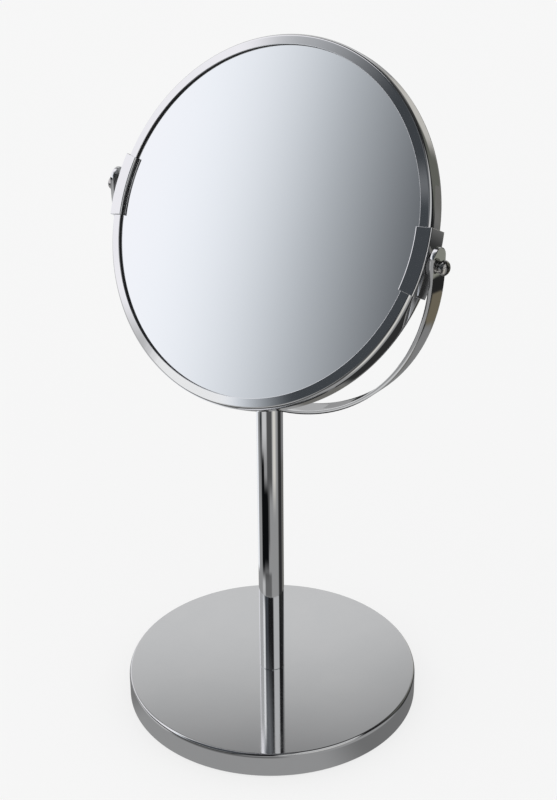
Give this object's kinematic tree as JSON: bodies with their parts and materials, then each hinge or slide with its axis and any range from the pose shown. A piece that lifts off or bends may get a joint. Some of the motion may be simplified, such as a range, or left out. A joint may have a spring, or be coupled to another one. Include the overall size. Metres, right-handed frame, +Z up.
{
  "type": "shaving mirror",
  "caption": "Round two-sided table mirror that tilts in a half-ring yoke on a slim post with a weighted round base.",
  "frame": {"origin": "middle of the underside of the foot pad, on the surface the mirror stands on", "axes": "+Z up along the post, the flat mirror faces -Y, +X along the tilt axis towards the viewer's right"},
  "size_m": [0.1896, 0.147, 0.3319],
  "materials": {
    "chrome_plate": "mirror-bright chrome plate",
    "zinc_steel": "dull zinc plate",
    "black_rubber": "matte black",
    "silvered_glass": "silvered glass",
    "grey_plastic": "matte",
    "cast_iron": "as cast"
  },
  "bodies": {
    "stand": {"base_shell": "chrome_plate", "base_weight": "cast_iron", "base_plate": "grey_plastic", "foot_pad": "black_rubber", "base_screw": "zinc_steel", "base_washer": "zinc_steel", "post_tube": "chrome_plate", "post_lower_insert": "zinc_steel", "post_upper_insert": "zinc_steel", "yoke": "chrome_plate", "yoke_screw": "chrome_plate"},
    "head": {"front_mirror": "silvered_glass", "rear_mirror": "silvered_glass", "mirror_spacer": "grey_plastic", "front_gasket": "black_rubber", "rear_gasket": "black_rubber", "rim_upper": "chrome_plate", "rim_lower": "chrome_plate", "right_clip": "chrome_plate", "right_pivot_screw": "chrome_plate", "right_cup_washer": "chrome_plate", "right_friction_washer": "black_rubber", "right_pivot_nut": "zinc_steel", "left_clip": "chrome_plate", "left_pivot_screw": "chrome_plate", "left_cup_washer": "chrome_plate", "left_friction_washer": "black_rubber", "left_pivot_nut": "zinc_steel"}
  },
  "joints": [
    {"name": "head_tilt", "type": "hinge", "parent": "stand", "child": "head", "pos_m": [0, 0, 0.255], "axis": [1, 0, 0], "continuous": true}
  ]
}
